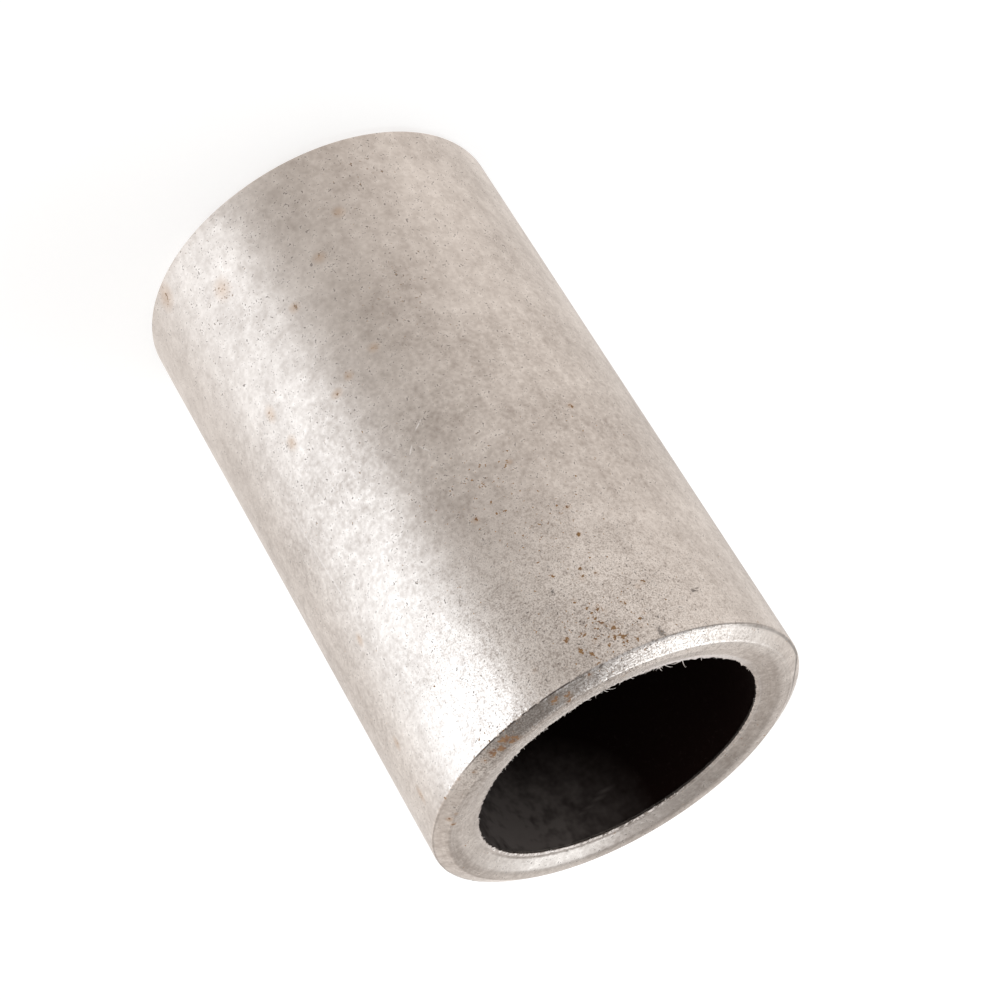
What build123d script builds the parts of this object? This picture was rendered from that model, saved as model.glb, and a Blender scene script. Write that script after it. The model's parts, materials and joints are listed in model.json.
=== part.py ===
from build123d import *
import os
from math import radians, tan

# Spacer sleeve: a short, thick-walled steel tube with both ends dressed by turning.
# It stands on one end, axis along Z, with the centre of the lower end at the origin.
# Millimetres.

# The tube
outside_diameter = 25.0
wall = 3.0
length = 42.3  # over the two end lands

# Both ends are cut alike: a bevel from the outside, a narrow flat land that the sleeve
# seats on, and a shallower bevel that runs down to the bore. Angles are measured from
# the plane of the land.
outer_bevel_width = 0.9
outer_bevel_angle = 30.0
bore_bevel_width = 1.4
bore_bevel_angle = 17.5
rim_radius = 0.15  # rounds the corner between the outer bevel and the outside

# Sizes that follow from the ones above
outer_radius = outside_diameter / 2
bore_radius = outer_radius - wall
half_length = length / 2
outer_bevel_depth = outer_bevel_width * tan(radians(outer_bevel_angle))
bore_bevel_depth = bore_bevel_width * tan(radians(bore_bevel_angle))

# A radial section stands at mid-length, so that its local Y runs along the sleeve
section_plane = Plane(origin=(0, 0, half_length), x_dir=(1, 0, 0), z_dir=(0, -1, 0))

with BuildPart() as sleeve:
    with BuildSketch(section_plane) as wall_section:
        with BuildLine():
            # Upper half of the wall's outline, from the outside to the bore
            Polyline(
                (outer_radius, 0),
                (outer_radius, half_length - outer_bevel_depth),
                (outer_radius - outer_bevel_width, half_length),
                (bore_radius + bore_bevel_width, half_length),
                (bore_radius, half_length - bore_bevel_depth),
                (bore_radius, 0),
                close=True,
            )
        make_face()
        mirror(about=Plane.XZ)
        rim_corners = wall_section.vertices().group_by(Axis.X)[-1]
        fillet(rim_corners, radius=rim_radius)
    revolve(axis=Axis.Z)

sleeve.part.label = "sleeve"

os.makedirs("parts", exist_ok=True)
export_step(sleeve.part, "parts/sleeve.step")
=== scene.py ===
"""Spacer sleeve: the looks of a short steel tube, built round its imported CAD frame."""

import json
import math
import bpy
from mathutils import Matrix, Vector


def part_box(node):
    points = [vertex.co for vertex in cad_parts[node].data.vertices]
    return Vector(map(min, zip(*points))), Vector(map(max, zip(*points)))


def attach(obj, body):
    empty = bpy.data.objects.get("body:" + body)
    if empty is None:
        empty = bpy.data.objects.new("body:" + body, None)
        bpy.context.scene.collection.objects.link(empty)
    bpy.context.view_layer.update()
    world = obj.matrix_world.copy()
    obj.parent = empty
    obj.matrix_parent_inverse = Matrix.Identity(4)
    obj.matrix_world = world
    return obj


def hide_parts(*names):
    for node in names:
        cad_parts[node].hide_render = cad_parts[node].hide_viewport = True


bl_info = {
    "name": "Spacer sleeve",
    "version": (1, 0, 0),
    "blender": (4, 5, 0),
    "location": "View3D > Sidebar > Sleeve",
    "description": "Builds a worn steel spacer sleeve with its burrs, finish and studio stage",
    "category": "Object",
}

import bpy
from mathutils import Quaternion, Vector

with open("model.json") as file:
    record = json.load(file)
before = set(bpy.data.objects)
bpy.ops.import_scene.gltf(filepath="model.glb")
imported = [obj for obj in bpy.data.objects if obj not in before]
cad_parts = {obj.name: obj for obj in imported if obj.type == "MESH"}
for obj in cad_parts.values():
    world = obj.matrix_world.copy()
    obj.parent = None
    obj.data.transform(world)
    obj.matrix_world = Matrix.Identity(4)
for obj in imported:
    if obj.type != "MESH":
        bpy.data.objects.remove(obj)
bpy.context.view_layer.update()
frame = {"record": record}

MM = 0.001

# What the frame says about the sleeve, in millimetres
low_corner, high_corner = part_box("sleeve")
mounts = {mount["name"]: mount for mount in frame["record"]["mounts"]}
LENGTH = (high_corner[2] - low_corner[2]) / MM
OUTER_RADIUS = mounts["outside"]["dims"]["r_mm"]
BORE_RADIUS = mounts["bore"]["dims"]["r_mm"]
BORE_BEVEL_DEPTH = (LENGTH - mounts["bore"]["dims"]["length_mm"]) / 2


# --- Node trees written as expressions ---


class Value:
    """A number socket that takes part in Python arithmetic by adding Math nodes."""

    def __init__(self, tree, socket):
        self.tree = tree
        self.socket = socket

    def math(self, operation, *others):
        sockets = dict(enumerate((self, *others)))
        return self.tree.value("ShaderNodeMath", {"operation": operation}, sockets)

    def __add__(self, other):
        return self.math("ADD", other)

    __radd__ = __add__

    def __mul__(self, other):
        return self.math("MULTIPLY", other)

    __rmul__ = __mul__

    def __sub__(self, other):
        return self.math("SUBTRACT", other)

    def __rsub__(self, other):
        sockets = {0: other, 1: self}
        return self.tree.value("ShaderNodeMath", {"operation": "SUBTRACT"}, sockets)

    def __truediv__(self, other):
        return self.math("DIVIDE", other)

    def __abs__(self):
        return self.math("ABSOLUTE")

    def at_most(self, other):
        return self.math("MINIMUM", other)

    def at_least(self, other):
        return self.math("MAXIMUM", other)

    def rise(self, start, end):
        """0 up to start and 1 from end on, smooth between; a start above end makes it fall."""
        settings = {"interpolation_type": "SMOOTHSTEP"}
        sockets = {"Value": self, "From Min": start, "From Max": end}
        return self.tree.value("ShaderNodeMapRange", settings, sockets)

    def band(self, start, full, fading, end):
        """0 up to start, 1 from full to fading, and 0 again from end on."""
        return self.rise(start, full) * self.rise(end, fading)


class Tree:
    """A node tree, and the few ways in which nodes are added to it."""

    def __init__(self, node_tree):
        self.nodes = node_tree.nodes
        self.links = node_tree.links

    def add(self, kind, settings=None, sockets=None):
        """Adds a node: its settings come first, then the values or links of its sockets."""
        node = self.nodes.new(kind)
        for name, setting in (settings or {}).items():
            setattr(node, name, setting)
        for key, content in (sockets or {}).items():
            self.plug(node.inputs[key], content)
        return node

    def plug(self, socket, content):
        """Links a socket to a value, a socket or a node's first output, or sets it."""
        if isinstance(content, Value):
            content = content.socket
        elif isinstance(content, bpy.types.Node):
            content = content.outputs[0]
        if isinstance(content, bpy.types.NodeSocket):
            self.links.new(content, socket)
        else:
            socket.default_value = content

    def value(self, kind, settings=None, sockets=None, output=0):
        return Value(self, self.add(kind, settings, sockets).outputs[output])

    def vector(self, operation, *vectors, **sockets):
        """Vector Math whose result is a vector."""
        sockets = {**dict(enumerate(vectors)), **sockets}
        node = self.add("ShaderNodeVectorMath", {"operation": operation}, sockets)
        return node.outputs[0]

    def length(self, vector):
        settings = {"operation": "LENGTH"}
        return self.value("ShaderNodeVectorMath", settings, {0: vector}, output="Value")

    def separate(self, vector):
        node = self.add("ShaderNodeSeparateXYZ", sockets={0: vector})
        return [Value(self, output) for output in node.outputs]

    def combine(self, x, y, z):
        return self.add("ShaderNodeCombineXYZ", sockets={0: x, 1: y, 2: z}).outputs[0]

    def noise(self, vector, scale, detail=2.0, roughness=0.5, seed=None):
        """Soft noise about 0.5; a seed, where there is one, is its fourth coordinate."""
        settings = {"noise_dimensions": "3D" if seed is None else "4D"}
        sockets = {"Vector": vector, "Scale": scale, "Detail": detail, "Roughness": roughness}
        if seed is not None:
            sockets["W"] = seed
        return self.value("ShaderNodeTexNoise", settings, sockets)

    def blend(self, factor, first, second):
        """The colour between two colours, each an RGB triple or a socket."""
        node = self.add("ShaderNodeMix", {"data_type": "RGBA"}, {"Factor": factor})
        pair = [socket for socket in node.inputs if socket.type == "RGBA"]
        for socket, colour in zip(pair, (first, second)):
            is_socket = isinstance(colour, bpy.types.NodeSocket)
            self.plug(socket, colour if is_socket else (*colour, 1.0))
        return [output for output in node.outputs if output.type == "RGBA"][0]


def emptied_tree(owner):
    """The node tree of a material or a world, with nothing in it."""
    owner.use_nodes = True
    owner.node_tree.nodes.clear()
    return Tree(owner.node_tree)


class GeometryTree(Tree):
    """A Geometry Nodes tree with inputs given as name: default, and a Material after them."""

    def __init__(self, name, inputs):
        self.group = bpy.data.node_groups.new(name, "GeometryNodeTree")
        super().__init__(self.group)
        sides = self.group.interface
        sides.new_socket("Geometry", in_out="OUTPUT", socket_type="NodeSocketGeometry")
        sides.new_socket("Geometry", in_out="INPUT", socket_type="NodeSocketGeometry")
        for label, default in inputs.items():
            kind = "NodeSocketInt" if isinstance(default, int) else "NodeSocketFloat"
            socket = sides.new_socket(label, in_out="INPUT", socket_type=kind)
            socket.default_value = default
        sides.new_socket("Material", in_out="INPUT", socket_type="NodeSocketMaterial")
        self.entry = self.add("NodeGroupInput")
        self.exit = self.add("NodeGroupOutput")

    def given(self, name):
        return Value(self, self.entry.outputs[name])

    def circle(self, resolution, radius):
        sockets = {"Resolution": resolution, "Radius": radius}
        return self.add("GeometryNodeCurvePrimitiveCircle", {"mode": "RADIUS"}, sockets)

    def finish(self, geometry):
        """Ends the tree in Realize Instances and Set Material."""
        real = self.add("GeometryNodeRealizeInstances", sockets={"Geometry": geometry})
        dressed = self.add(
            "GeometryNodeSetMaterial",
            sockets={"Geometry": real, "Material": self.given("Material")},
        )
        self.links.new(dressed.outputs[0], self.exit.inputs[0])


def baked(name, seed_mesh, tree, contents):
    """The plain mesh object that a tree makes out of a seed mesh."""
    carrier = bpy.data.objects.new(name + "_carrier", seed_mesh)
    bpy.context.scene.collection.objects.link(carrier)
    modifier = carrier.modifiers.new(name, "NODES")
    modifier.node_group = tree.group
    for item in tree.group.interface.items_tree:
        if item.in_out == "INPUT" and item.name in contents:
            modifier[item.identifier] = contents[item.name]
    depsgraph = bpy.context.evaluated_depsgraph_get()
    mesh = bpy.data.meshes.new_from_object(carrier.evaluated_get(depsgraph))
    carrier.modifiers.remove(modifier)
    bpy.data.objects.remove(carrier)
    if not mesh.polygons:
        raise RuntimeError(f"the tree for {name} made no faces")
    mesh.name = name
    piece = bpy.data.objects.new(name, mesh)
    bpy.context.scene.collection.objects.link(piece)
    return piece


# --- What a user would change ---


def millimetres(name, description, size):
    """A length property whose default is given in millimetres."""
    return bpy.props.FloatProperty(
        name=name, description=description, default=size * MM, min=0.0, unit="LENGTH", precision=5
    )


def colour(name, description, rgb):
    return bpy.props.FloatVectorProperty(
        name=name, description=description, default=rgb, size=3, min=0.0, max=1.0, subtype="COLOR"
    )


class SleeveShape(bpy.types.PropertyGroup):
    """The forms of the dressed ends, and how far wear has eaten into them."""

    outer_bevel_width: millimetres("Outer bevel", "Radial width of the bevel at the outside", 0.9)
    outer_bevel_depth: millimetres("Outer bevel depth", "Height that the outer bevel loses", 0.52)
    bore_bevel_width: millimetres("Bore bevel", "Radial width of the bevel at the bore", 1.4)
    rim_radius: millimetres("Rim radius", "Rounding where the outer bevel meets the wall", 0.13)
    bevel_blend: millimetres("Bevel blend", "Rounding between the land and its bevel", 0.5)
    bore_blend: millimetres("Bore blend", "Rounding between the land and the bore's bevel", 1.6)
    lip_height: millimetres("Lip height", "How far the bore's burr stands up from its bevel", 0.022)
    lip_width: millimetres("Lip width", "Radial width of the bore's burr", 0.28)
    bore_burr: millimetres("Bore burr", "Furthest reach of the ragged edge into the bore", 0.24)
    rim_nick: millimetres("Rim nicks", "Deepest nick in the outer rim", 0.05)
    waviness: millimetres("Waviness", "How far the tube's wall dips from true", 0.012)
    off_centre: millimetres("Off centre", "Extra width of the outer bevel at its widest", 0.16)
    around: bpy.props.IntProperty(
        name="Around", description="Number of divisions round the sleeve", default=830, min=48
    )


class SteelColours(bpy.types.PropertyGroup):
    """Colours of the metal and of what has settled on it; some also serve as painted light and
    shade.
    """

    clean: colour("Clean steel", "Brighter patches of the bare metal", (0.76, 0.70, 0.65))
    dull: colour("Dull steel", "Greyer, oxidised patches", (0.37, 0.32, 0.285))
    # Also the dark of the painted shadow and shade along the outer rim
    pit_and_shade: colour("Pits", "Bottoms of the pits and scratches", (0.075, 0.058, 0.05))
    rust: colour("Rust", "Older, darker rust", (0.21, 0.105, 0.058))
    rust_pale: colour("Pale rust", "Fresh rust specks", (0.42, 0.235, 0.095))
    stain: colour("Stain", "Thin brown stain round the rust", (0.44, 0.29, 0.18))
    # Also the colour of the painted highlight on the lip and the painted glints at the rim
    burr: colour("Burr", "Freshly torn metal at the bore's lip", (0.82, 0.78, 0.76))
    # Near black: dark scale, made darker still as painted shade deep in the bore
    bore: colour("Bore", "Scale inside the bore", (0.010, 0.003, 0.002))
    # Paler near the bore's mouth: painted light falling into the bore
    bore_lit_mouth: colour("Bore dust", "Dust near the mouth of the bore", (0.145, 0.127, 0.120))


class StudioStage(bpy.types.PropertyGroup):
    """Camera and light."""

    camera_distance: millimetres("Camera distance", "Level distance from the axis", 162.06)
    camera_height: millimetres("Camera height", "Height above the floor", 112.42)
    aim_side: millimetres("Aim side", "How far to the left of the axis the camera aims", 1.97)
    aim_height: millimetres("Aim height", "Height on the axis that the camera aims at", 22.5)
    camera_roll: bpy.props.FloatProperty(
        name="Camera roll",
        description="Turn of the camera about its line of sight",
        default=math.radians(148.6),
        subtype="ANGLE",
    )
    lens: bpy.props.FloatProperty(
        name="Lens", description="Focal length on a 36 mm sensor, in millimetres", default=105.66
    )
    backdrop: colour("Backdrop", "Floor and background", (1.0, 1.0, 1.0))
    key_power: bpy.props.FloatProperty(
        name="Key light", description="Power of the overhead softbox", default=0.36, unit="POWER"
    )


SETTINGS = {
    "sleeve_shape": SleeveShape,
    "steel_colours": SteelColours,
    "studio_stage": StudioStage,
}


# --- Steel ---

# Rust on the outside: azimuth in degrees, distance below the top rim, reach round the
# sleeve, reach along it, all in millimetres, and how thickly it gathers there
WALL_RUST = (
    (-106.5, 1.8, 0.3, 0.46, 1.25), (-104.5, 2.3, 0.28, 0.3, 1.2),
    (-107.5, 0.9, 0.28, 0.36, 1.2), (-105.4, 1.2, 0.2, 0.24, 1.1),
    (-94.0, 2.4, 0.3, 0.32, 1.25), (-95.8, 1.4, 0.2, 0.34, 1.05), (-98.0, 0.8, 0.2, 0.2, 1.0),
    (-100.5, 1.5, 0.26, 0.24, 1.15), (-99.0, 2.2, 0.22, 0.24, 1.05),
    (-105.5, 3.3, 0.32, 0.34, 1.2), (-107.0, 2.9, 0.22, 0.22, 1.1),
    (-112.8, 3.0, 0.36, 0.28, 1.25), (-116.0, 1.9, 0.26, 0.26, 1.1),
    (-113.5, 1.2, 0.24, 0.24, 1.1), (-118.5, 3.7, 0.3, 0.26, 1.15),
    (-120.5, 3.9, 0.26, 0.24, 1.15), (-106.4, 5.5, 0.3, 0.36, 1.2),
    (-107.2, 6.1, 0.2, 0.22, 1.05), (-110.5, 5.4, 0.24, 0.3, 1.15),
    (-101.2, 4.4, 0.22, 0.22, 1.1), (-99.8, 6.4, 0.24, 0.24, 1.1),
    (-112.0, 8.2, 0.24, 0.22, 1.05), (-113.4, 10.2, 0.34, 0.22, 1.15),
    (-106.0, 14.5, 0.3, 0.26, 1.1), (-132.5, 17.2, 0.34, 0.32, 1.1),
    (-90.0, 12.0, 0.32, 0.34, 1.2), (-83.0, 1.8, 0.3, 0.3, 0.95), (-28.0, 1.9, 0.4, 0.8, 1.2),
    (-30.5, 5.3, 0.4, 0.6, 1.2), (-40.0, 11.6, 0.4, 0.6, 1.15), (-39.5, 40.3, 1.05, 1.25, 1.15),
    (-60.5, 36.5, 0.9, 1.1, 0.95), (-55.0, 24.5, 0.55, 0.7, 1.05),
    (-75.0, 24.7, 0.55, 0.42, 1.15), (-80.5, 25.2, 0.45, 0.45, 1.2),
    (-90.5, 25.9, 0.5, 0.45, 1.2), (-53.5, 27.2, 0.55, 0.8, 1.05), (-77.0, 31.6, 0.5, 0.5, 1.1),
    (-90.5, 33.6, 0.6, 0.55, 1.15), (-102.0, 36.0, 0.55, 0.55, 1.15),
)
# Areas where small flecks of rust are common, in the same terms
RUSTY_AREAS = (
    (-104.0, 2.5, 5.0, 5.0, 1.6), (-106.0, 9.0, 5.0, 7.0, 1.5), (-96.0, 14.0, 5.0, 6.0, 1.3),
    (-108.0, 29.0, 3.6, 3.6, 1.1), (-64.0, 35.9, 1.6, 1.6, 0.9), (-116.0, 39.0, 3.0, 2.4, 1.1),
    (-66.0, 0.1, 3.6, 1.6, 1.4),
)
# Rust on the top end: azimuth in degrees, distance in from the outside, reach, both in
# millimetres, and how thickly it gathers there
BEVEL_RUST = (
    (-59.8, 0.5, 0.42, 1.9), (-62.4, 0.7, 0.4, 1.9), (-65.4, 0.5, 0.5, 2.1),
    (-66.8, 0.8, 0.42, 1.9), (-68.2, 1.0, 0.34, 1.6), (-83.2, 0.45, 0.46, 2.2),
    (-87.0, 0.7, 0.44, 2.2), (-86.2, 1.0, 0.3, 1.7), (-94.6, 0.2, 0.34, 1.2),
    (-56.5, 0.5, 0.34, 1.2), (-51.5, 0.5, 0.24, 1.4), (-47.0, 0.05, 0.18, 1.4),
    (-38.4, 0.02, 0.16, 1.4), (-40.0, 2.0, 0.22, 1.3), (-32.5, 0.95, 0.2, 1.4),
    (-29.5, 0.7, 0.3, 1.8), (-27.0, 1.0, 0.26, 1.6), (-104.0, 1.6, 0.34, 0.95),
    (-126.0, 1.3, 0.28, 1.05),
)
# Painted light and shade on the end face, for its uneven reflections: how its tone changes
# round it, as (azimuth in degrees, amount) in order; the last amount repeats the first
BEVEL_SHADING = (
    (-180, 0.05), (-157, 0.2), (-140, -0.15), (-125, -0.05), (-110, -0.05), (-102, -0.2),
    (-94, -0.3), (-80, -0.25), (-65, -0.1), (-50, 0.2), (-35, -0.05), (-10, -0.2), (10, -0.3),
    (30, -0.3), (45, -0.18), (75, -0.14), (95, -0.18), (125, -0.2), (148, -0.08), (160, -0.5),
    (172, 0.0), (180, 0.05),
)
LAND_SHADING = (
    (-180, 0.2), (-140, 0.3), (-125, 0.5), (-110, 0.3), (-95, -0.6), (-65, -0.55), (-50, -0.35),
    (-35, -0.05), (-20, 0.05), (-4, -0.35), (10, -0.1), (25, 0.0), (55, 0.15), (70, 0.0),
    (100, -0.15), (130, 0.2), (160, 0.0), (180, 0.2),
)
BORE_BEVEL_SHADING = (
    (-180, -0.4), (-168, -0.5), (-155, -0.2), (-140, 0.1), (-110, 0.2), (-65, 0.2), (-50, -0.2),
    (-20, -0.25), (0, 0.05), (25, 0.1), (55, 0.1), (70, -0.2), (85, -0.6), (100, -0.6),
    (115, -0.4), (130, -0.25), (160, -0.4), (180, -0.4),
)
# How dark the painted shade of a fine groove along the outer rim is, in the same terms
RIM_GROOVE_SHADE = (
    (-180, 0.55), (-168, 0.5), (-150, 0.35), (-138, 0.1), (-40, 0.0), (-25, 0.25), (0, 0.4),
    (20, 0.4), (50, 0.25), (140, 0.25), (155, 0.35), (170, 0.55), (180, 0.55),
)
# A faint pale streak inside the bore: azimuth in degrees, and distance below the top; and
# each of its spots' reach round the bore, reach along it, and push
BORE_STREAK = ((61.5, 2.2), (66.0, 2.3), (70.5, 2.5), (75.0, 2.8), (78.5, 3.1))
STREAK_SPOT = (1.15, 0.34, 0.80)
# Single patches: azimuth in degrees, radius, distance below the top, reach round the
# sleeve, reach along it, all in millimetres, and push
CRISP_SIDE = (-98.0, 12.0, 0.0, 13.5, 15.0, 1.6)
# A painted highlight on one side of the bore's lip
LIP_HIGHLIGHT = (-136.0, 9.6, 0.0, 6.0, 4.0, 1.6)
# Painted shade on one side of the bore's lip
LIP_SHADE = (55.0, 9.6, 0.4, 8.0, 8.0, 2.0)
SCUFFED_BEVEL = (-86.0, 10.3, 0.2, 9.0, 9.0, 1.8)
# Painted light falling into the bore near its mouth
LIT_MOUTH = (38.0, BORE_RADIUS, 2.0, 9.0, 8.0, 1.2)
# Stretches of the top rim: azimuth in degrees of the middle, and reach in millimetres
# Where the rolled burr's shadow is painted along the rim
TORN_RIM_SHADOW = (-74.0, 6.0)
DIRTY_RIM = (-136.0, 7.0)
# Where painted glints of the burr's edges lie just inside the rim
GLINTING_RIM = (-108.0, 7.0)
GRAINY_RIM = (-78.0, 8.0)
# A stretch where the outer bevel is darker
DARKER_BEVEL_STRETCH = (-84.0, 6.0)
LINE_SHIFTED_OUT = (0.0, 9.0)
LINE_SHIFTED_IN = (-203.0, 4.5)
# Dark bruises, in the same terms as the rust on the outside
BRUISES = (
    (-117.3, 0.45, 0.3, 0.55, 1.1), (-114.0, 0.05, 0.16, 0.16, 1.3),
    (-119.0, 1.4, 0.13, 0.13, 1.6), (-97.5, 5.5, 0.16, 0.2, 1.2),
    (-134.0, 2.55, 0.5, 0.12, 0.95),
)
# Scratches: azimuth in degrees, distance below the top rim, half length, tilt from level
# in degrees, and brightness, below zero where the scratch is dark
SCRATCHES = (
    (-134.2, 2.6, 0.34, -24.0, -1.0), (-135.6, 2.72, 0.26, 6.0, -0.8),
    (-105.0, 1.85, 0.5, -72.0, -0.6), (-90.0, 19.6, 0.55, 35.0, 0.9),
    (-84.7, 18.4, 0.5, 50.0, 0.8), (-88.0, 18.0, 0.6, -60.0, 0.5),
    (-84.0, 4.6, 0.35, 80.0, 0.6), (-75.0, 8.2, 0.6, 62.0, -0.35),
    (-42.0, 17.7, 6.3, 93.4, 0.3),
)


def around_sleeve(azimuth, radius, height):
    """The place at an azimuth in degrees, with radius and height in millimetres."""
    angle = math.radians(azimuth)
    return Vector((radius * math.cos(angle), radius * math.sin(angle), height))


def gathering(tree, position, spots):
    """How thickly something gathers at spots given as (centre, reach, reach along Z, push).

    It is highest at the middle of each spot and 0 where its reach ends.
    """
    total = None
    for centre, reach, reach_along, push in spots:
        scale = Vector((1 / reach, 1 / reach, 1 / reach_along)) * push
        shift = -Vector(a * b for a, b in zip(centre, scale))
        offset = tree.vector("MULTIPLY_ADD", position, tuple(scale), tuple(shift))
        here = push - tree.length(offset)
        total = here.at_least(0.0) if total is None else total.at_least(here)
    return total


def round_the_end(tree, azimuth, stops):
    """An amount that changes with the azimuth in degrees, from (azimuth, amount) stops."""
    node = tree.add("ShaderNodeValToRGB", sockets={"Fac": azimuth / 360 + 0.5})
    elements = node.color_ramp.elements
    elements.remove(elements[1])
    for index, (place, amount) in enumerate(stops):
        position = place / 360 + 0.5
        element = elements.new(position) if index else elements[0]
        element.position = position
        level = 0.5 + 0.5 * amount
        element.color = (level, level, level, 1.0)
    return Value(tree, node.outputs["Color"]) * 2 - 1


def scratch_lines(tree, position, rim_top):
    """Light and dark scratches on the outside, as a pair of masks."""
    light, dark = None, None
    for azimuth, below, half_length, tilt, brightness in SCRATCHES:
        settings = {"vector_type": "TEXTURE"}
        sockets = {
            "Vector": position,
            "Location": around_sleeve(azimuth, OUTER_RADIUS, rim_top - below),
            "Rotation": (math.radians(tilt), 0.0, math.radians(azimuth)),
            "Scale": (0.5, half_length, 0.07),
        }
        local = tree.add("ShaderNodeMapping", settings, sockets).outputs[0]
        line = tree.length(local).rise(1.0, 0.3) * abs(brightness)
        if brightness > 0:
            light = line if light is None else light.at_least(line)
        else:
            dark = line if dark is None else dark.at_least(line)
    return light, dark


# Radii, in millimetres, between which the land gives way to the outer bevel, and the
# bore's bevel gives way to the land
LAND_TO_BEVEL = (11.38, 11.62)
BORE_BEVEL_TO_LAND = (10.65, 11.15)


def wall_spots(rows, rim_top):
    """Spots on the outside, from rows of azimuth, distance below the rim, reaches and push."""
    return [
        (around_sleeve(azimuth, OUTER_RADIUS, rim_top - below), reach, along, push)
        for azimuth, below, reach, along, push in rows
    ]


class SteelFields:
    """Where things are on the sleeve, in millimetres, and the noises that its steel mixes."""

    def __init__(self, tree, shape):
        self.tree = tree
        object_place = tree.add("ShaderNodeTexCoord").outputs["Object"]
        self.place = place = tree.vector("SCALE", object_place, Scale=1 / MM)
        x, y, self.z = tree.separate(place)
        self.radius = radius = tree.length(tree.combine(x, y, 0.0))
        self.from_middle = abs(self.z - LENGTH / 2)

        bevel_depth = shape.outer_bevel_depth / MM
        self.bevel_slope = bevel_depth / (shape.outer_bevel_width / MM)
        self.rim_height = LENGTH / 2 - bevel_depth
        self.rim_top = LENGTH - bevel_depth
        self.on_end = self.from_middle.rise(self.rim_height - 0.02, self.rim_height + 0.03)
        self.past_land = radius.rise(*LAND_TO_BEVEL)
        self.past_bevel = radius.rise(*BORE_BEVEL_TO_LAND)
        lip_depth = LENGTH / 2 - BORE_BEVEL_DEPTH - self.from_middle
        in_bore = radius.rise(BORE_RADIUS + 0.12, BORE_RADIUS + 0.04)
        self.in_bore = in_bore * lip_depth.rise(0.02, 0.22)
        self.crisp = self.patch(CRISP_SIDE)

        # Grain, from the finest to the broadest
        self.grain = tree.noise(place, 9.0, detail=1.0, roughness=0.6) - 0.5
        self.speckle = tree.noise(place, 3.4, detail=2.0, roughness=0.6) - 0.5
        self.mottle = tree.noise(place, 0.85, detail=2.0, roughness=0.8) - 0.5
        self.cloud = tree.noise(place, 0.17, detail=1.0, roughness=0.5) - 0.5
        self.grit = tree.noise(place, 8.5, detail=0.0)
        self.turn = y.math("ARCTAN2", x) * math.degrees(1.0) + self.mottle * 8.0

    def gathered(self, *rows):
        """How thickly something gathers at spots given by their distance below the top."""
        spots = [
            (around_sleeve(azimuth, radius, LENGTH - below), *reaches)
            for azimuth, radius, below, *reaches in rows
        ]
        return gathering(self.tree, self.place, spots)

    def patch(self, row):
        """How strongly one soft patch shows, from 0 to 1."""
        return self.gathered(row).at_most(1.0)

    def near_rim(self, stretch):
        """A soft patch on one stretch of the top rim."""
        azimuth, reach = stretch
        return self.patch((azimuth, OUTER_RADIUS, LENGTH - self.rim_top, reach, reach, 2.0))

    def round_the_end(self, stops):
        return round_the_end(self.tree, self.turn, stops)


def rust_pattern(fields):
    """Rust as a mask, and how thickly it gathers at its own spots."""
    spots = wall_spots(WALL_RUST, fields.rim_top)
    for azimuth, inward, reach, push in BEVEL_RUST:
        height = min(fields.rim_top + inward * fields.bevel_slope, LENGTH)
        spots.append((around_sleeve(azimuth, OUTER_RADIUS - inward, height), reach, reach, push))
    rust_here = gathering(fields.tree, fields.place, spots).at_most(1.6)
    areas = wall_spots(RUSTY_AREAS, fields.rim_top)
    rusty = gathering(fields.tree, fields.place, areas).at_most(1.3)
    fleck = fields.tree.noise(fields.place, 4.4, detail=2.0, roughness=0.6)
    rust = fleck + rust_here * 0.190 + rusty * 0.078
    rust = rust - fields.cloud * 0.14 + fields.speckle * 0.42
    rust = rust.rise(0.745, 0.785)
    return rust * (1 - fields.in_bore), rust_here


def pit_pattern(fields):
    """Pits and bruises, as a mask."""
    crisp = fields.crisp
    bruises = wall_spots(BRUISES, fields.rim_top)
    bruise = gathering(fields.tree, fields.place, bruises).at_most(1.0)
    pits = (fields.grit - fields.cloud * 0.10 + crisp * fields.on_end * 0.03).rise(0.74, 0.78)
    pits = pits * (0.02 + 0.98 * crisp)
    bruised = (bruise + fields.grain * 2.5 + fields.speckle * 2.0).rise(0.35, 0.80)
    return pits.at_least(bruised * 0.90)


def rim_pattern(fields):
    """The torn rim: dark marks along its edge, painted shadow of its rolled burr with some dirt and
    a groove's painted shade, and painted glints of the burr's edges just inside it.
    """
    tree, radius, mottle, speckle = fields.tree, fields.radius, fields.mottle, fields.speckle
    past_wall = radius - OUTER_RADIUS
    past_rim = fields.from_middle - fields.rim_height
    off_rim = tree.length(tree.combine(past_wall + 0.02, past_rim, 0.0))
    # Dark marks along the edge: painted shadow of the rolled burr
    rim_dirt_and_shade = off_rim.rise(0.075, 0.035) * (mottle * 1.1 + speckle * 0.6).rise(-0.14, -0.08)
    rim_dirt_and_shade = rim_dirt_and_shade * fields.near_rim(TORN_RIM_SHADOW)
    rim_dirt_and_shade = rim_dirt_and_shade.at_least(off_rim.rise(0.08, 0.03) * fields.near_rim(DIRTY_RIM) * 0.35)
    # A dark line near the outer rim: painted shade of a fine groove
    line_radius = OUTER_RADIUS - 0.13 + 0.10 * fields.near_rim(LINE_SHIFTED_OUT)
    line_radius = line_radius - 0.45 * fields.near_rim(LINE_SHIFTED_IN)
    line = abs(radius - line_radius + speckle * 0.06).rise(0.12, 0.04) * fields.on_end
    rim_dirt_and_shade = rim_dirt_and_shade.at_least(line * fields.round_the_end(RIM_GROOVE_SHADE))
    # Pale bits just inside the edge: painted glints where the burr's edges catch the light
    off_glint = tree.length(tree.combine(past_wall + 0.07, past_rim - 0.03, 0.0))
    rim_glints = (0.5 * fields.near_rim(GLINTING_RIM) + speckle * 2.5 + mottle).rise(0.35, 0.55)
    return rim_dirt_and_shade, off_glint.rise(0.11, 0.06) * rim_glints


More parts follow.
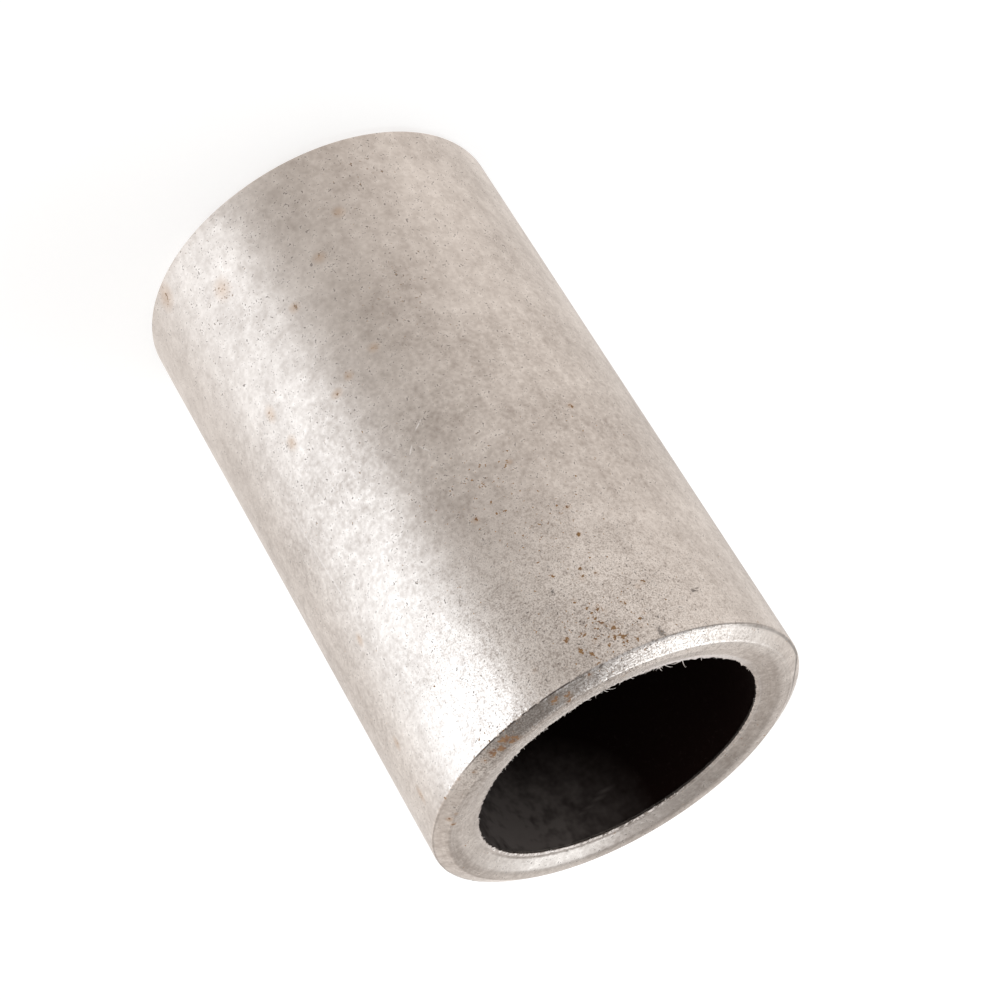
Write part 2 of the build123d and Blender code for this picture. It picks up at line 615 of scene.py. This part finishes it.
def tone_pattern(fields):
    """The tone between dull and clean steel, lighter towards the top end as painted light: without
    the end face's painted light and shade, and with it.
    """
    tree, place, radius, z = fields.tree, fields.place, fields.radius, fields.z
    grain, speckle, crisp, on_end = fields.grain, fields.speckle, fields.crisp, fields.on_end
    drawn = tree.vector("MULTIPLY", place, (1.3, 1.3, 0.05))
    streak = tree.noise(drawn, 1.0, detail=1.0, roughness=0.65) - 0.5
    turned = tree.combine(radius * 9.0, z * 9.0, fields.mottle * 1.2)
    rings = tree.noise(turned, 1.0, detail=1.0, roughness=0.7) - 0.5
    fine = grain * (0.03 + 0.97 * crisp) * 2.00 + speckle * (0.30 + 0.40 * z.rise(8.0, 26.0))
    end_grain = (grain * 2.2 + speckle * 1.2) * on_end
    fine = fine + end_grain * (0.25 * crisp + 0.75 * fields.near_rim(GRAINY_RIM))
    broad = fields.mottle * 0.62 + fields.cloud * 0.44 + streak * 0.14
    broad = broad + rings * on_end * (0.35 + 0.45 * crisp)
    past_land, past_bevel = fields.past_land, fields.past_bevel
    # Painted light and shade round the end face, for its uneven reflections
    end_shading = fields.round_the_end(LAND_SHADING) * past_bevel * (1 - past_land)
    end_shading = end_shading + fields.round_the_end(BEVEL_SHADING) * past_land
    end_shading = end_shading + fields.round_the_end(BORE_BEVEL_SHADING) * (1 - past_bevel)
    # Lighter towards the top end: painted light for the brighter reflection near the rim
    plain = 0.42 + (fine + broad) * 1.25 + 0.12 * z.rise(LENGTH - 16.0, LENGTH - 4.0)
    # The bore's bevel is lighter: painted light against the dark bore that it reflects
    tone = plain + on_end * (end_shading - 0.06 + 0.10 * radius.rise(10.95, 10.80))
    # Painted shade on one side of the lip
    tone = tone - 0.60 * fields.patch(LIP_SHADE) * radius.rise(9.92, 9.80) * on_end
    return plain, tone.at_least(0.0).at_most(1.0)


def bore_light_pattern(fields):
    """Painted light falling into the bore near its mouth, and the pale streak in it."""
    bore_light = (fields.gathered(LIT_MOUTH) * (1.05 + fields.mottle * 2.5)).at_most(1.0)
    streak = [(azimuth, BORE_RADIUS, below, *STREAK_SPOT) for azimuth, below in BORE_STREAK]
    return bore_light.at_least(fields.gathered(*streak))


def steel_finish(colours, shape):
    """Bare steel: speckled and rust-flecked outside, turned at the ends, dark in the bore."""
    material = bpy.data.materials.new("sleeve_steel")
    tree = emptied_tree(material)

    fields = SteelFields(tree, shape)
    z, speckle, crisp = fields.z, fields.speckle, fields.crisp
    on_end, in_bore = fields.on_end, fields.in_bore
    rust, rust_here = rust_pattern(fields)
    light_scratch, dark_scratch = scratch_lines(tree, fields.place, fields.rim_top)
    dark = pit_pattern(fields).at_least(dark_scratch)
    rim_dirt_and_shade, rim_glints = rim_pattern(fields)
    plain, tone = tone_pattern(fields)
    bore_light = bore_light_pattern(fields)

    # Colour, from the bare metal to what lies on it, with painted light and shade among it
    metal = tree.blend(tone, colours.dull, colours.clean)
    near_lip = fields.radius.rise(BORE_RADIUS + 0.52, BORE_RADIUS + 0.22) * on_end
    sparks = fields.grit.rise(0.27, 0.20) * crisp
    # Pale at the lip: torn metal, with a painted highlight on one side; pale scratches and specks,
    # and the rim's painted glints
    pale = near_lip * (0.10 + 0.70 * fields.patch(LIP_HIGHLIGHT))
    pale = pale + light_scratch * 0.8 + rim_glints * 0.8 + sparks * 0.4
    metal = tree.blend(pale.at_most(1.0), metal, colours.burr)
    # One stretch of the outer bevel is made darker
    darker_bevel = fields.near_rim(DARKER_BEVEL_STRETCH) * fields.past_land * on_end
    metal = tree.blend(darker_bevel * 0.24, metal, colours.pit_and_shade)
    # Pits and dark scratches, and at the rim dirt with the painted burr shadow and groove shade
    metal = tree.blend((dark * 0.72).at_least(rim_dirt_and_shade * 0.97), metal, colours.pit_and_shade)
    metal = tree.blend((rust_here * (0.45 - 0.25 * crisp)).at_most(0.40), metal, colours.stain)
    freshness = (0.6 + speckle * 2.0 - 0.4 * on_end).at_most(1.0)
    rust_tone = tree.blend(freshness, colours.rust, colours.rust_pale)
    metal = tree.blend(rust * (0.95 - 0.40 * z.rise(28.0, 16.0)), metal, rust_tone)
    # The bore: near black with painted shade deep inside, and paler near its mouth as painted light
    metal = tree.blend(in_bore, metal, tree.blend(bore_light, colours.bore, colours.bore_lit_mouth))

    # Shine
    rough = 0.39 - 0.05 * on_end - 0.06 * z.rise(LENGTH - 8.0, LENGTH - 0.5) * (1 - on_end)
    scuffed = fields.patch(SCUFFED_BEVEL) * (1 - fields.past_bevel) * on_end
    rough = rough - 0.08 * (plain - 0.5) + 0.35 * rust + 0.25 * dark + 0.08 * scuffed
    rough = rough + 0.3 * rim_dirt_and_shade + 0.25 * rim_glints + 0.25 * in_bore
    metallic = 1 - 0.95 * rust - 0.35 * dark - 0.75 * rim_dirt_and_shade - 0.6 * rim_glints - 0.35 * scuffed
    metallic = metallic - in_bore * (0.12 + 0.58 * bore_light)

    # Relief, in millimetres
    relief = tree.noise(fields.place, 1.7, detail=1.0, roughness=0.7)
    relief = relief * (0.011 + 0.005 * z.rise(20.0, 36.0))
    bump = tree.add("ShaderNodeBump", sockets={"Distance": MM, "Strength": 1.0, "Height": relief})

    shader = tree.add(
        "ShaderNodeBsdfPrincipled",
        sockets={
            "Base Color": metal,
            "Metallic": metallic.at_least(0.0),
            "Roughness": rough.at_most(0.95),
            "Normal": bump.outputs["Normal"],
        },
    )
    tree.add("ShaderNodeOutputMaterial", sockets={"Surface": shader})
    return material


def burr_finish(colours):
    """Torn steel of the burrs: brighter than the sleeve, and smooth."""
    material = bpy.data.materials.new("burr_steel")
    tree = emptied_tree(material)
    object_place = tree.add("ShaderNodeTexCoord").outputs["Object"]
    place = tree.vector("SCALE", object_place, Scale=1 / MM)
    tone = tree.noise(place, 6.0, detail=2.0, seed=1.0)
    shader = tree.add(
        "ShaderNodeBsdfPrincipled",
        sockets={
            "Base Color": tree.blend(tone, colours.clean, colours.burr),
            "Metallic": 1.0,
            "Roughness": 0.25 + 0.3 * tone,
        },
    )
    tree.add("ShaderNodeOutputMaterial", sockets={"Surface": shader})
    return material


# --- The tube ---

ARC_STEPS = 4
# How much of each end is cut up more finely than the wall, and the longest run left in
# each stretch, all in millimetres
TOP_END, BOTTOM_END = 1.4, 1.3
TOP_SPACING, BOTTOM_SPACING, WALL_SPACING = 0.1, 0.6, 3.5
# How far beyond its bevel each end goes on along the wall, in millimetres
END_WALL = 0.8
# Rounding of the lip's foot and crest, in millimetres; then the crest's place as a share of
# the lip's width, how much of the bevel's rise lies under it, and the inner edge's height
# as a share of the lip's
LIP_FOOT_RADIUS, LIP_CREST_RADIUS = 0.04, 0.05
LIP_CREST_PLACE, LIP_CREST_SLOPE, LIP_EDGE_RISE = 0.55, 0.7, 0.4


def rounded_outline(corners):
    """A closed outline through corners given as (radius, height, rounding)."""
    points = []
    for index, (radius, height, rounding) in enumerate(corners):
        corner = Vector((radius, height))
        before = Vector(corners[index - 1][:2]) - corner
        after = Vector(corners[(index + 1) % len(corners)][:2]) - corner
        reach = rounding / math.tan(before.angle(after) / 2) if rounding else 0.0
        start = corner + before.normalized() * reach
        end = corner + after.normalized() * reach
        steps = ARC_STEPS if rounding else 0
        for step in range(steps + 1):
            t = step / steps if steps else 0.0
            points.append(start * (1 - t) ** 2 + corner * 2 * t * (1 - t) + end * t**2)
    return points


def divided(points):
    """The outline with its long runs cut up: finely at the top end, less elsewhere."""
    result = []
    for index, start in enumerate(points):
        end = points[(index + 1) % len(points)]
        if min(start.y, end.y) > LENGTH - TOP_END:
            spacing = TOP_SPACING
        elif max(start.y, end.y) < BOTTOM_END:
            spacing = BOTTOM_SPACING
        else:
            spacing = WALL_SPACING
        steps = max(1, math.ceil((end - start).length / spacing - 0.01))
        result += [start.lerp(end, step / steps) for step in range(steps)]
    return result


def wall_corners(shape):
    """Corners of the wall's section, clockwise from the outside at the top."""
    rim = LENGTH - shape.outer_bevel_depth / MM
    land_out = OUTER_RADIUS - shape.outer_bevel_width / MM
    land_in = BORE_RADIUS + shape.bore_bevel_width / MM
    lip = LENGTH - BORE_BEVEL_DEPTH
    lip_width = shape.lip_width / MM
    lip_rise = shape.lip_height / MM
    bevel_rise = lip_width * BORE_BEVEL_DEPTH / (land_in - BORE_RADIUS)
    rim_radius = shape.rim_radius / MM
    bevel_blend = shape.bevel_blend / MM
    bore_blend = shape.bore_blend / MM
    crest = lip + bevel_rise * LIP_CREST_SLOPE + lip_rise

    outside = [
        (OUTER_RADIUS, rim - END_WALL, 0.0),
        (OUTER_RADIUS, rim, rim_radius),
        (land_out, LENGTH, bevel_blend),
    ]
    upper = [
        (land_in, LENGTH, bore_blend),
        (BORE_RADIUS + lip_width, lip + bevel_rise, LIP_FOOT_RADIUS),
        (BORE_RADIUS + lip_width * LIP_CREST_PLACE, crest, LIP_CREST_RADIUS),
        (BORE_RADIUS, lip + lip_rise * LIP_EDGE_RISE, LIP_FOOT_RADIUS),
        (BORE_RADIUS, lip - END_WALL, 0.0),
    ]
    lower = [
        (BORE_RADIUS, BORE_BEVEL_DEPTH + END_WALL, 0.0),
        (BORE_RADIUS, BORE_BEVEL_DEPTH, LIP_FOOT_RADIUS),
        (land_in, 0.0, bore_blend),
        (land_out, 0.0, bevel_blend),
        (OUTER_RADIUS, LENGTH - rim, rim_radius),
        (OUTER_RADIUS, LENGTH - rim + END_WALL, 0.0),
    ]
    return outside + upper + lower


# Where the outer bevel is at its widest, as an azimuth in degrees, and how far in over the
# land its extra width fades out, in millimetres
WIDE_SIDE = -112.0
LAND_FADE = 0.6


def tube_tree():
    """Sweeps the section round the axis, then wears its edges."""
    tree = GeometryTree(
        "tube_sweep_and_wear",
        {
            "Ring Radius": 0.011,
            "Rim Depth": 0.00052,
            "Rim Width": 0.0009,
            "Off Centre": 0.00016,
            "Around": 830,
            "Bore Burr": 0.00024,
            "Rim Nick": 0.00005,
            "Waviness": 0.000012,
            "Seed": 3.0,
        },
    )
    section = tree.add(
        "GeometryNodeMeshToCurve", sockets={"Mesh": tree.entry.outputs["Geometry"]}
    )
    ring = tree.circle(tree.given("Around"), tree.given("Ring Radius"))
    upright = tree.add("GeometryNodeSetCurveNormal", {"mode": "Z_UP"}, {"Curve": ring})
    swept = tree.add(
        "GeometryNodeCurveToMesh",
        sockets={"Curve": upright, "Profile Curve": section},
    )

    position = tree.add("GeometryNodeInputPosition").outputs[0]
    place = tree.vector("SCALE", position, Scale=1 / MM)
    x, y, z = tree.separate(place)
    flat = tree.combine(x, y, 0.0)
    radius = tree.length(flat)
    outward = tree.vector("NORMALIZE", flat)
    seed = tree.given("Seed")

    # The bore's lip: a low swell, with torn teeth on it
    lip_height = LENGTH - BORE_BEVEL_DEPTH
    away = tree.length(tree.combine(radius - BORE_RADIUS, (z - lip_height - 0.02) * 1.2, 0.0))
    at_lip = away.rise(0.42, 0.05)
    swell = tree.noise(flat, 0.22, detail=2.0, seed=seed)
    teeth = tree.noise(flat, 3.0, detail=4.0, roughness=0.7, seed=seed + 1.0)
    torn = teeth.rise(0.42, 0.80) * 0.75 + swell.rise(0.35, 0.75) * 0.35
    inward_lip = at_lip * torn * tree.given("Bore Burr")
    lift_lip = at_lip * (teeth - 0.5) * tree.given("Bore Burr") * 0.5

    # The top rim: sparse nicks
    rim_height = LENGTH - tree.given("Rim Depth") / MM
    off_rim = tree.length(tree.combine(radius - OUTER_RADIUS, z - rim_height, 0.0))
    at_rim = off_rim.rise(0.30, 0.04)
    nicks = tree.noise(flat, 2.4, detail=5.0, roughness=0.8, seed=seed + 2.0).rise(0.46, 0.70)
    inward_rim = at_rim * nicks * tree.given("Rim Nick")

    # The outer bevel was cut a little off centre, so it is wider on one side
    rim_width = tree.given("Rim Width") / MM
    land_edge = OUTER_RADIUS - rim_width
    past_edge = radius - land_edge
    from_edge = (past_edge / -LAND_FADE).at_least(past_edge / rim_width)
    wide_side = around_sleeve(WIDE_SIDE, 1.0, 0.0)
    towards = (x * wide_side.x + y * wide_side.y) / radius
    inward_bevel = (1.0 - from_edge).at_least(0.0) * towards.at_least(0.0)
    inward_bevel = inward_bevel * z.rise(rim_height - 0.05, rim_height)
    inward_bevel = inward_bevel * tree.given("Off Centre")

    dips = tree.noise(place, 0.07, detail=2.0, seed=seed + 3.0)
    on_wall = radius.rise(OUTER_RADIUS - 0.3, OUTER_RADIUS - 0.05)
    inward_wall = dips.rise(0.3, 0.7) * on_wall * tree.given("Waviness")

    inward = inward_lip + inward_rim + inward_bevel + inward_wall
    shift = tree.vector("SCALE", outward, Scale=0.0 - inward)
    lift = tree.combine(0.0, 0.0, lift_lip - inward_rim * 0.3)
    worn = tree.add(
        "GeometryNodeSetPosition",
        sockets={"Geometry": swept, "Offset": tree.vector("ADD", shift, lift)},
    )
    smooth = tree.add("GeometryNodeSetShadeSmooth", sockets={"Geometry": worn})
    tree.finish(smooth)
    return tree


class SLEEVE_OT_tube(bpy.types.Operator):
    """Builds the tube over its CAD solid: a section swept round the axis, with worn edges"""

    bl_idname = "sleeve.build_tube"
    bl_label = "Build Tube"

    def execute(self, context):
        scene = context.scene
        shape = scene.sleeve_shape
        middle_radius = (OUTER_RADIUS + BORE_RADIUS) / 2
        outline = divided(rounded_outline(wall_corners(shape)))
        vertices = [((p.x - middle_radius) * MM, -p.y * MM, 0.0) for p in outline]
        edges = [(i, (i + 1) % len(vertices)) for i in range(len(vertices))]
        section = bpy.data.meshes.new("wall_section")
        section.from_pydata(vertices, edges, [])
        contents = {
            "Ring Radius": middle_radius * MM,
            "Rim Depth": shape.outer_bevel_depth,
            "Rim Width": shape.outer_bevel_width,
            "Off Centre": shape.off_centre,
            "Around": shape.around,
            "Bore Burr": shape.bore_burr,
            "Rim Nick": shape.rim_nick,
            "Waviness": shape.waviness,
            "Material": steel_finish(scene.steel_colours, shape),
        }
        tube = baked("sleeve_tube", section, tube_tree(), contents)
        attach(tube, "root")
        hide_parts("sleeve")
        return {"FINISHED"}


# --- Burrs at the bore ---

# Share of the places along the lip where a sliver stands, and how finely slivers are cut
SHARE_OF_PLACES = 0.42
SLIVER_STEPS = 5
SLIVER_SIDES = 5


def burr_fringe_tree():
    """Short tapered slivers standing at random along the bore's lip."""
    tree = GeometryTree(
        "burr_fringe",
        {
            "Lip Radius": 0.0095,
            "Lip Height": 0.042,
            "Count": 260,
            "Sliver Length": 0.00017,
            "Sliver Thickness": 0.000028,
            "Seed": 7,
        },
    )
    length = tree.given("Sliver Length")
    line = tree.add(
        "GeometryNodeCurveQuadraticBezier",
        sockets={
            "Resolution": SLIVER_STEPS,
            "Start": (0.0, 0.0, 0.0),
            "Middle": tree.combine(length * -0.45, 0.0, length * 0.1),
            "End": tree.combine(length * -0.7, length * 0.35, length * 0.55),
        },
    )
    along = tree.value("GeometryNodeSplineParameter", output="Factor")
    tapered = tree.add(
        "GeometryNodeSetCurveRadius",
        sockets={"Curve": line, "Radius": 1.0 - along * 0.85},
    )
    ring = tree.circle(SLIVER_SIDES, tree.given("Sliver Thickness"))
    sliver = tree.add(
        "GeometryNodeCurveToMesh",
        sockets={
            "Curve": tapered,
            "Profile Curve": ring,
            "Scale": tree.add("GeometryNodeInputRadius").outputs[0],
            "Fill Caps": True,
        },
    )

    lip = tree.circle(tree.given("Count"), tree.given("Lip Radius"))
    spots = tree.add("GeometryNodeCurveToPoints", {"mode": "EVALUATED"}, {"Curve": lip})
    position = tree.add("GeometryNodeInputPosition").outputs[0]
    x, y, _ = tree.separate(position)
    azimuth = y.math("ARCTAN2", x)
    seed = tree.given("Seed")

    def chance(low, high, offset):
        """A number drawn anew for each place on the lip."""
        node = tree.add("FunctionNodeRandomValue", {"data_type": "FLOAT"})
        floats = [s for s in node.inputs if s.name in ("Min", "Max") and s.type == "VALUE"]
        for socket, content in zip(floats, (low, high)):
            tree.plug(socket, content)
        tree.plug(node.inputs["Seed"], seed + offset)
        return Value(tree, [o for o in node.outputs if o.type == "VALUE"][0])

    thick_with_burrs = tree.noise(position, 120.0, detail=2.0, seed=2.0)
    drawn = chance(0.0, 1.0, 1) - (thick_with_burrs - 0.5) * 2.0
    chosen = drawn.math("LESS_THAN", SHARE_OF_PLACES)
    turn = tree.combine(
        chance(-0.7, 0.7, 2),
        chance(-0.9, 0.5, 3),
        azimuth + chance(-0.6, 0.6, 4),
    )
    slivers = tree.add(
        "GeometryNodeInstanceOnPoints",
        sockets={
            "Points": spots,
            "Selection": chosen,
            "Instance": sliver,
            "Rotation": turn,
            "Scale": tree.combine(*[chance(0.35, 1.15, 5)] * 3),
        },
    )
    lifted = tree.add(
        "GeometryNodeTransform",
        sockets={
            "Geometry": slivers,
            "Translation": tree.combine(0.0, 0.0, tree.given("Lip Height")),
        },
    )
    tree.finish(lifted)
    return tree


# Long burrs at the top of the bore: azimuth in degrees, length in millimetres, and how
# far each leans along the edge, rises and curls, as shares of its length
LONG_BURRS = (
    (-98.5, 0.62, -0.85, 0.1, 0.1), (-97.6, 0.4, -0.3, 0.0, 0.2),
    (-91.0, 0.28, -0.5, 0.05, 0.15), (-116.5, 0.5, 0.55, 0.1, 0.2),
    (-119.5, 0.55, -0.25, 0.05, 0.1), (-120.5, 0.45, 0.4, 0.15, 0.3),
    (-122.0, 0.75, -0.6, 0.0, 0.1), (-128.0, 1.0, 0.3, 0.05, 0.95),
    (-129.6, 0.55, -0.4, 0.1, 0.5), (-108.0, 0.28, -0.6, 0.1, 0.1),
    (-83.0, 0.24, -0.55, 0.1, 0.05), (-72.0, 0.3, -0.65, 0.1, 0.05),
    (-262.0, 0.3, 0.2, 0.3, 0.05), (-274.5, 0.4, 0.1, 0.35, 0.1),
    (-287.0, 0.34, -0.1, 0.3, 0.05), (-301.0, 0.28, 0.2, 0.3, 0.05),
)
LONG_BURR_POINTS = 9
LONG_BURR_RADIUS = 0.026  # millimetres
# How far a long burr leans into the bore, as a share of its length
INWARD_LEAN = 0.35
# How far above and inside the bevel's lower edge the burrs are rooted, in millimetres
BURR_ROOT = 0.02


def long_burr(curve, azimuth, length, lean, rise, curl, lip_radius, lip_height):
    """One torn wire of steel: a spline from the lip, curling as it thins."""
    angle = math.radians(azimuth)
    outward = Vector((math.cos(angle), math.sin(angle), 0.0))
    along = Vector((-math.sin(angle), math.cos(angle), 0.0))
    root = outward * lip_radius + Vector((0.0, 0.0, lip_height))
    heading = along * lean + Vector((0.0, 0.0, rise)) - outward * INWARD_LEAN
    course = heading.normalized() * length
    side = course.normalized().cross(outward).normalized() * length
    spline = curve.splines.new("NURBS")
    spline.points.add(LONG_BURR_POINTS - 1)
    for step, point in enumerate(spline.points):
        t = step / (LONG_BURR_POINTS - 1)
        bow = side * curl * (1 - math.cos(t * math.pi * 1.4)) * 0.4
        inner = -outward * math.sin(t * math.pi) * curl * length * 0.35
        place = root + course * (t - 0.35 * curl * t**2) + bow + inner
        point.co = (*place, 1.0)
        point.radius = 1.0 - 0.75 * t
    spline.order_u = 3
    spline.use_endpoint_u = True


class SLEEVE_OT_burrs(bpy.types.Operator):
    """Builds the slivers and the longer torn wires that stand at the bore's top edge"""

    bl_idname = "sleeve.build_burrs"
    bl_label = "Build Burrs"

    def execute(self, context):
        scene = context.scene
        finish = burr_finish(scene.steel_colours)
        lip_height = (LENGTH - BORE_BEVEL_DEPTH + BURR_ROOT) * MM
        lip_radius = (BORE_RADIUS - BURR_ROOT) * MM
        contents = {"Lip Radius": lip_radius, "Lip Height": lip_height, "Material": finish}
        seed_mesh = bpy.data.meshes.new("burr_seed")
        fringe = baked("burr_fringe", seed_mesh, burr_fringe_tree(), contents)

        curve = bpy.data.curves.new("long_burrs", "CURVE")
        curve.dimensions = "3D"
        curve.bevel_depth = LONG_BURR_RADIUS * MM
        curve.bevel_resolution = 1
        curve.use_fill_caps = True
        for azimuth, length, lean, rise, curl in LONG_BURRS:
            long_burr(curve, azimuth, length * MM, lean, rise, curl, lip_radius, lip_height)
        drawn = bpy.data.objects.new("long_burrs_drawn", curve)
        scene.collection.objects.link(drawn)
        depsgraph = context.evaluated_depsgraph_get()
        mesh = bpy.data.meshes.new_from_object(drawn.evaluated_get(depsgraph))
        bpy.data.objects.remove(drawn)
        mesh.name = "long_burrs"
        mesh.materials.clear()
        mesh.materials.append(finish)
        wires = bpy.data.objects.new("long_burrs", mesh)
        scene.collection.objects.link(wires)
        for piece in (fringe, wires):
            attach(piece, "root")
        return {"FINISHED"}


# --- Stage ---

# Colours of the softbox's light, the room's and the window's
SOFTBOX_TINT = (0.94, 1.0, 1.05)
ROOM_TINT = (1.0, 0.965, 0.935)
WINDOW_TINT = (0.98, 1.07, 1.16)
# How much light the floor throws back, and how bright it glows for the camera
FLOOR_ALBEDO = 0.45
FLOOR_GLOW = 0.72
# Half the floor's width, in metres
FLOOR_REACH = 3.0
SENSOR_WIDTH = 36.0  # millimetres


def floor_finish(backdrop):
    """A white floor that still takes the sleeve's soft shadow."""
    material = bpy.data.materials.new("floor_white")
    tree = emptied_tree(material)
    paths = tree.add("ShaderNodeLightPath")
    lit = tree.add("ShaderNodeBsdfDiffuse", sockets={"Color": (*(backdrop * FLOOR_ALBEDO), 1.0)})
    glow_sockets = {"Color": (*backdrop, 1.0), "Strength": FLOOR_GLOW}
    glow = tree.add("ShaderNodeEmission", sockets=glow_sockets)
    both = tree.add("ShaderNodeAddShader", sockets={0: lit, 1: glow})
    shown = tree.add(
        "ShaderNodeMixShader",
        sockets={0: paths.outputs["Is Camera Ray"], 1: lit, 2: both},
    )
    tree.add("ShaderNodeOutputMaterial", sockets={"Surface": shown})
    return material


def studio_world(world):
    """A pale studio: white to the camera, and soft bright and shaded sides in the metal."""
    tree = emptied_tree(world)
    direction = tree.add("ShaderNodeTexCoord").outputs["Generated"]
    x, y, z = tree.separate(tree.vector("NORMALIZE", direction))

    # Below the horizon: a bright window, a shade beside it, and weaker lights round about
    azimuth = y.math("ARCTAN2", x) * math.degrees(1.0)
    below = z.rise(0.04, -0.30)
    window = azimuth.band(-61.0, -54.0, -27.0, 40.0)
    window = window * (1.5 - 0.60 * z.rise(-0.40, -0.50) - 0.45 * z.rise(-0.50, -0.62)) * below
    shade = azimuth.band(-140.0, -84.0, -64.0, -54.0)
    lower = 1.02 + window - shade * 0.31 + z.rise(-0.50, -0.62) * 0.12
    sides = azimuth.band(52.0, 64.0, 78.0, 86.0)
    sides = sides + azimuth.band(102.0, 110.0, 122.0, 134.0)
    lower = lower + sides * z.rise(-0.44, -0.58) * 0.32
    lower = lower + abs(azimuth).rise(156.0, 172.0) * 0.09
    lower = lower + abs(azimuth).rise(134.0, 150.0) * z.rise(-0.44, -0.54) * 0.05
    gap = azimuth.band(90.0, 96.0, 106.0, 116.0)
    lower = lower - gap * z.rise(-0.25, -0.38) * 0.45

    # Above it: darker towards the top, with two fills
    fill = azimuth.band(-90.0, -60.0, 62.0, 82.0) * z.rise(0.93, 0.80) * 0.52
    fill = fill + azimuth.rise(98.0, 112.0) * z.rise(0.62, 0.50) * 0.26
    upper = 0.84 - 0.54 * z.rise(0.0, 0.95) + fill

    # Both together, with two lights behind the sleeve
    lit = lower * below + upper * (1 - below)
    behind = azimuth.band(68.0, 84.0, 94.0, 106.0)
    lit = lit + behind * z.rise(-0.32, -0.18) * z.rise(0.70, 0.50) * 0.27
    low_behind = azimuth.band(62.0, 80.0, 100.0, 118.0)
    lit = lit + low_behind * z.rise(-0.32, -0.20) * z.rise(0.06, -0.06) * 0.45

    # The camera itself sees plain white
    camera = Value(tree, tree.add("ShaderNodeLightPath").outputs["Is Camera Ray"])
    strength = lit + (1 - lit) * camera
    tint = tree.blend(window, ROOM_TINT, WINDOW_TINT)
    tint = tree.blend(camera, tint, (1.0, 1.0, 1.0))
    sky = tree.add("ShaderNodeBackground", sockets={"Color": tint, "Strength": strength})
    tree.add("ShaderNodeOutputWorld", sockets={"Surface": sky})


def softbox(name, azimuth, elevation, distance, size, power, target):
    """An area light that faces a target; angles in degrees, lengths in metres."""
    data = bpy.data.lights.new(name, "AREA")
    data.shape = "RECTANGLE"
    data.size, data.size_y = size
    data.energy = power
    data.color = SOFTBOX_TINT
    lamp = bpy.data.objects.new(name, data)
    turn, climb = math.radians(azimuth), math.radians(elevation)
    level = math.cos(climb)
    towards = Vector((math.cos(turn) * level, math.sin(turn) * level, math.sin(climb)))
    lamp.location = target + towards * distance
    lamp.rotation_euler = towards.to_track_quat("Z", "Y").to_euler()
    bpy.context.scene.collection.objects.link(lamp)


class SLEEVE_OT_stage(bpy.types.Operator):
    """Sets the floor, the lights and the camera"""

    bl_idname = "sleeve.build_stage"
    bl_label = "Build Stage"

    def execute(self, context):
        scene = context.scene
        stage = scene.studio_stage

        signs = ((-1, -1), (1, -1), (1, 1), (-1, 1))
        corners = [(side * FLOOR_REACH, depth * FLOOR_REACH, 0) for side, depth in signs]
        mesh = bpy.data.meshes.new("floor")
        mesh.from_pydata(corners, [], [(0, 1, 2, 3)])
        mesh.materials.append(floor_finish(Vector(stage.backdrop)))
        floor = bpy.data.objects.new("floor", mesh)
        scene.collection.objects.link(floor)
        floor.visible_glossy = False

        scene.world = bpy.data.worlds.new("studio")
        studio_world(scene.world)
        scene.world.cycles.sampling_method = "NONE"
        middle = Vector((0.0, 0.0, LENGTH / 2 * MM))
        softbox(
            "key_softbox",
            azimuth=131.0,
            elevation=59.0,
            distance=0.35,
            size=(0.23, 0.25),
            power=stage.key_power,
            target=middle,
        )

        camera_data = bpy.data.cameras.new("camera")
        camera_data.lens = stage.lens
        camera_data.sensor_width = SENSOR_WIDTH
        camera_data.clip_start = 0.01
        camera = bpy.data.objects.new("camera", camera_data)
        camera.location = (0.0, -stage.camera_distance, stage.camera_height)
        aim = Vector((-stage.aim_side, 0.0, stage.aim_height)) - camera.location
        roll = Quaternion((0.0, 0.0, 1.0), stage.camera_roll)
        camera.rotation_euler = (aim.to_track_quat("-Z", "Y") @ roll).to_euler()
        scene.collection.objects.link(camera)
        scene.camera = camera
        scene.view_settings.view_transform = "Standard"
        return {"FINISHED"}


# --- Add-on ---

BUILDERS = (SLEEVE_OT_tube, SLEEVE_OT_burrs, SLEEVE_OT_stage)


class SLEEVE_PT_panel(bpy.types.Panel):
    """Lists the sleeve's builders in the sidebar"""

    bl_idname = "SLEEVE_PT_panel"
    bl_label = "Spacer Sleeve"
    bl_space_type = "VIEW_3D"
    bl_region_type = "UI"
    bl_category = "Sleeve"

    def draw(self, context):
        for builder in BUILDERS:
            self.layout.operator(builder.bl_idname)


def register():
    for cls in (*SETTINGS.values(), *BUILDERS, SLEEVE_PT_panel):
        bpy.utils.register_class(cls)
    for name, group in SETTINGS.items():
        setattr(bpy.types.Scene, name, bpy.props.PointerProperty(type=group))


def unregister():
    for name in SETTINGS:
        delattr(bpy.types.Scene, name)
    for cls in reversed((*SETTINGS.values(), *BUILDERS, SLEEVE_PT_panel)):
        bpy.utils.unregister_class(cls)


def main():
    register()
    bpy.ops.sleeve.build_tube()
    bpy.ops.sleeve.build_burrs()
    bpy.ops.sleeve.build_stage()


if __name__ == "__main__":
    main()
